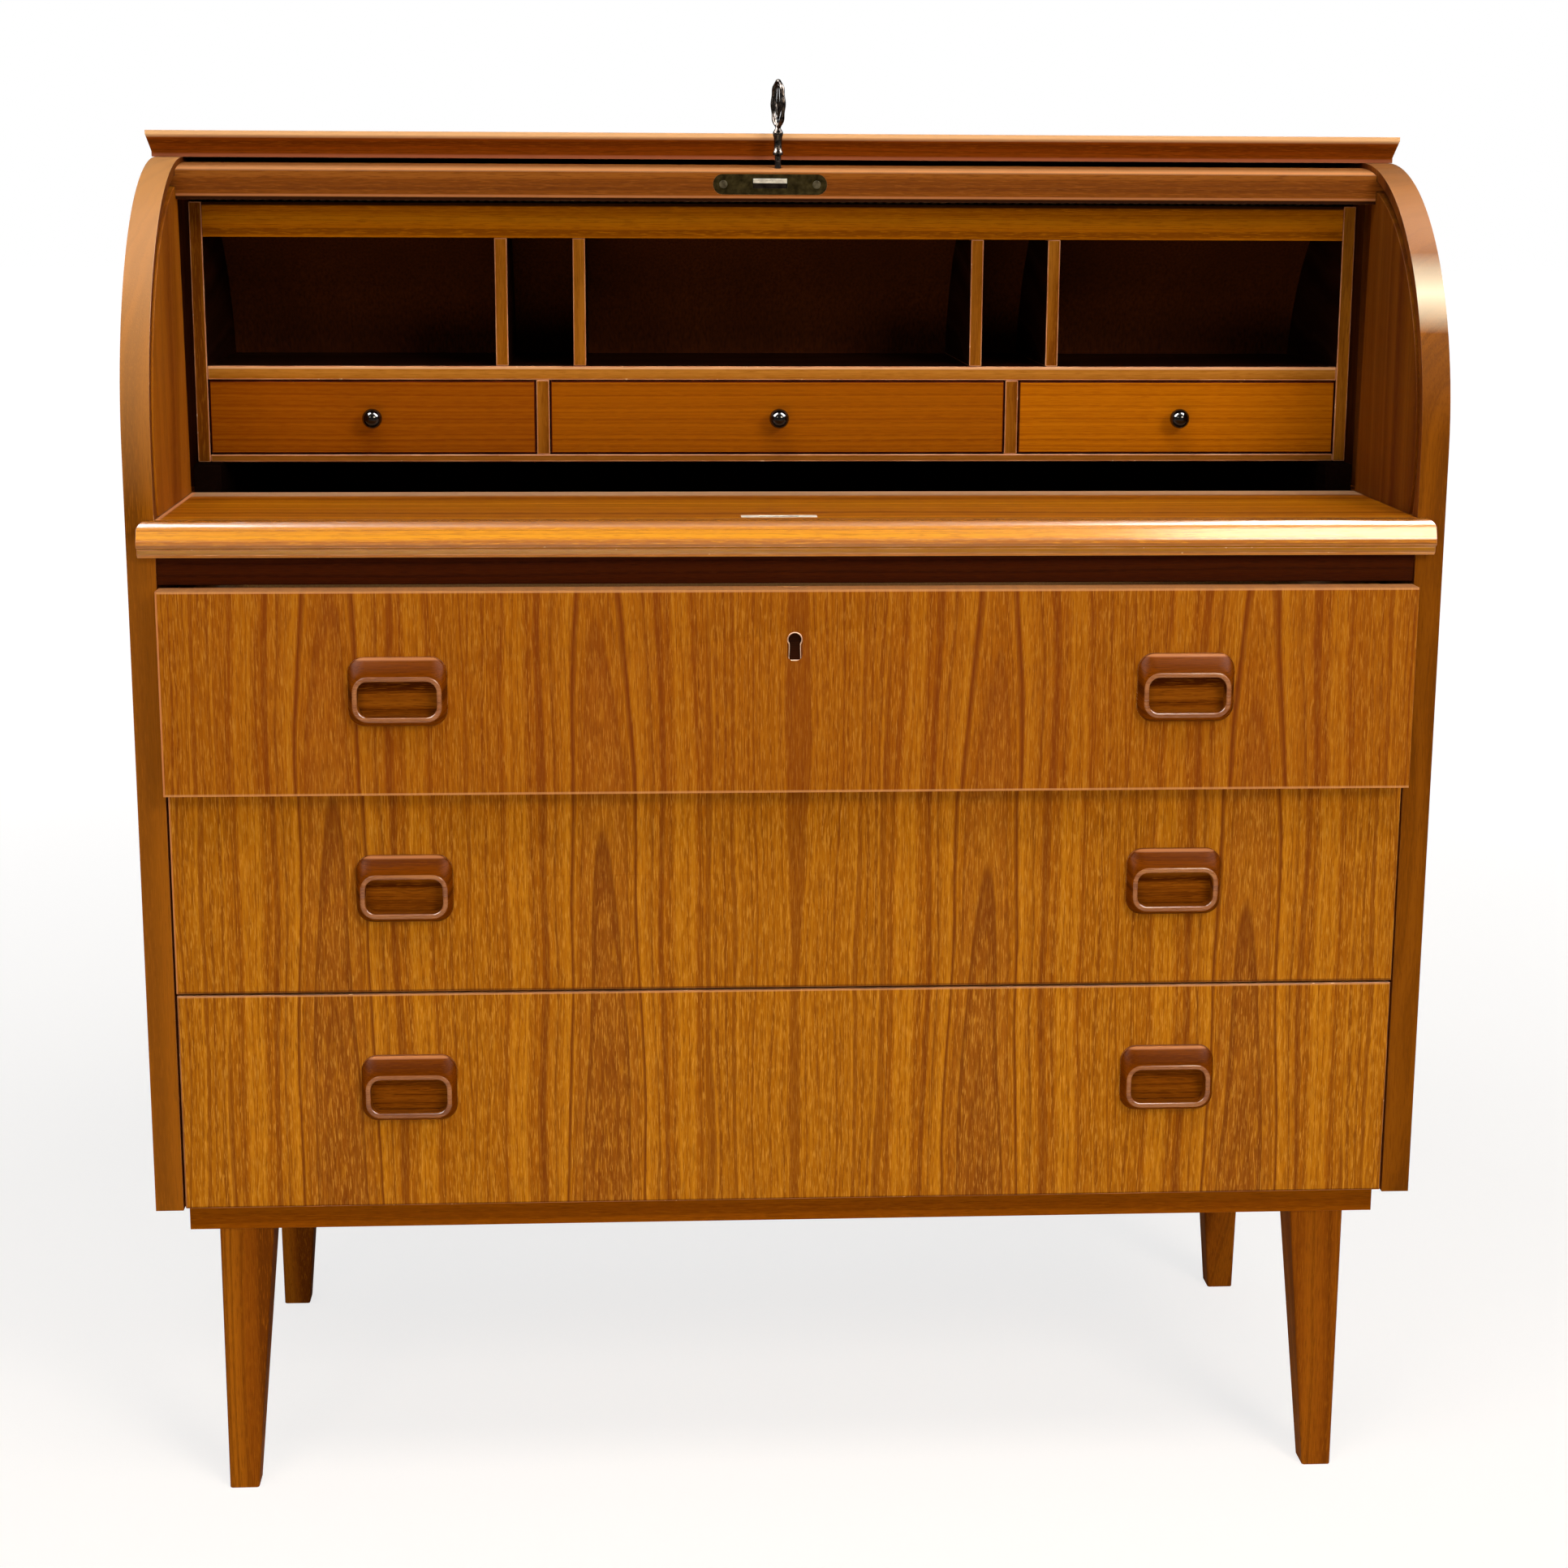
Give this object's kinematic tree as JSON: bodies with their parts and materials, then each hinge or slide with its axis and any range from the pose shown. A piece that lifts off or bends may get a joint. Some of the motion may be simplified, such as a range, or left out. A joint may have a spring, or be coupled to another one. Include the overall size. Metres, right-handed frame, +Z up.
{
  "type": "tambour secretary desk",
  "caption": "Secretary desk with a roll front over pigeonholes and a pull-out writing surface, above a chest of drawers on tapered legs.",
  "frame": {"origin": "on the floor, under the middle of the desk's outline as it rests, with the top drawer a little open", "axes": "+X across the desk to its right side seen from the front, +Y to its back, +Z up"},
  "size_m": [0.982, 0.478, 1.0928],
  "materials": {
    "teak": "satin oiled veneer and solid",
    "plywood": "plain",
    "beech": "plain",
    "canvas": "woven",
    "aged_brass": "aged",
    "steel": "brushed",
    "dark_iron": "burnished",
    "black_knob": "glossy"
  },
  "bodies": {
    "carcass": {"side_panel_left": "teak", "side_panel_right": "teak", "side_cheeks": "teak", "tambour_rear_guides": "beech", "top_board": "teak", "bottom_board": "teak", "back_panel": "plywood", "front_rail": "beech", "slide_bearers": "beech", "slide_keepers": "beech", "drawer_runners": "beech", "case_dowels": "beech", "plinth_frame": "teak", "leg_dowels": "beech", "leg_front_left": "teak", "leg_front_right": "teak", "leg_rear_left": "teak", "leg_rear_right": "teak", "unit_side_left": "teak", "unit_side_right": "teak", "unit_top_rail": "teak", "unit_top_panel": "teak", "unit_shelf": "teak", "unit_base": "plywood", "unit_back": "plywood", "pigeonhole_dividers": "teak", "unit_drawer_dividers": "teak"},
    "tambour": {"lead_rail": "teak", "tambour_slats": "teak", "tambour_canvas": "canvas", "lock_plate": "aged_brass", "lock_plate_screws": "aged_brass", "rail_lock_case": "steel"},
    "tambour_bolt": {"rail_lock_bolt": "steel"},
    "key": {"key": "dark_iron"},
    "writing_slide": {"writing_slide": "teak", "slide_lip": "teak", "slide_arms": "beech", "lock_strike": "aged_brass"},
    "top_drawer": {"drawer_top_front": "teak", "drawer_top_box": "beech", "drawer_top_pulls": "teak", "drawer_lock_case": "steel", "keyhole_plate": "aged_brass"},
    "top_drawer_bolt": {"drawer_lock_bolt": "steel"},
    "middle_drawer": {"drawer_middle_front": "teak", "drawer_middle_box": "beech", "drawer_middle_pulls": "teak"},
    "bottom_drawer": {"drawer_bottom_front": "teak", "drawer_bottom_box": "beech", "drawer_bottom_pulls": "teak"},
    "small_drawer_left": {"small_drawer_left_front": "teak", "small_drawer_left_box": "beech", "small_drawer_left_knob": "black_knob"},
    "small_drawer_middle": {"small_drawer_middle_front": "teak", "small_drawer_middle_box": "beech", "small_drawer_middle_knob": "black_knob"},
    "small_drawer_right": {"small_drawer_right_front": "teak", "small_drawer_right_box": "beech", "small_drawer_right_knob": "black_knob"}
  },
  "joints": [
    {"name": "tambour_roll", "type": "hinge", "parent": "carcass", "child": "tambour", "pos_m": [0, 0.001, 0.824], "axis": [-1, 0, 0], "range_deg": [-90, 0]},
    {"name": "key_turn", "type": "hinge", "parent": "tambour", "child": "key", "pos_m": [-0.003, -0.029, 1.05], "axis": [0, 0, 1], "range_deg": [0, 90]},
    {"name": "tambour_bolt_slide", "type": "slide", "parent": "tambour", "child": "tambour_bolt", "axis": [0, -1, 0], "range_m": [0, 0.007]},
    {"name": "writing_slide_pull", "type": "slide", "parent": "carcass", "child": "writing_slide", "axis": [0, -1, 0], "range_m": [0, 0.165]},
    {"name": "top_drawer_slide", "type": "slide", "parent": "carcass", "child": "top_drawer", "axis": [0, -1, 0], "range_m": [-0.02, 0.28]},
    {"name": "middle_drawer_slide", "type": "slide", "parent": "carcass", "child": "middle_drawer", "axis": [0, -1, 0], "range_m": [0, 0.3]},
    {"name": "bottom_drawer_slide", "type": "slide", "parent": "carcass", "child": "bottom_drawer", "axis": [0, -1, 0], "range_m": [0, 0.3]},
    {"name": "top_drawer_bolt_slide", "type": "slide", "parent": "top_drawer", "child": "top_drawer_bolt", "axis": [0, 0, 1], "range_m": [0, 0.007]},
    {"name": "small_drawer_left_slide", "type": "slide", "parent": "carcass", "child": "small_drawer_left", "axis": [0, -1, 0], "range_m": [0, 0.11]},
    {"name": "small_drawer_middle_slide", "type": "slide", "parent": "carcass", "child": "small_drawer_middle", "axis": [0, -1, 0], "range_m": [0, 0.11]},
    {"name": "small_drawer_right_slide", "type": "slide", "parent": "carcass", "child": "small_drawer_right", "axis": [0, -1, 0], "range_m": [0, 0.11]}
  ],
  "couplings": [
    {"joint": "key_turn", "follows": "tambour_bolt_slide", "rad_per_m": 224.4}
  ]
}
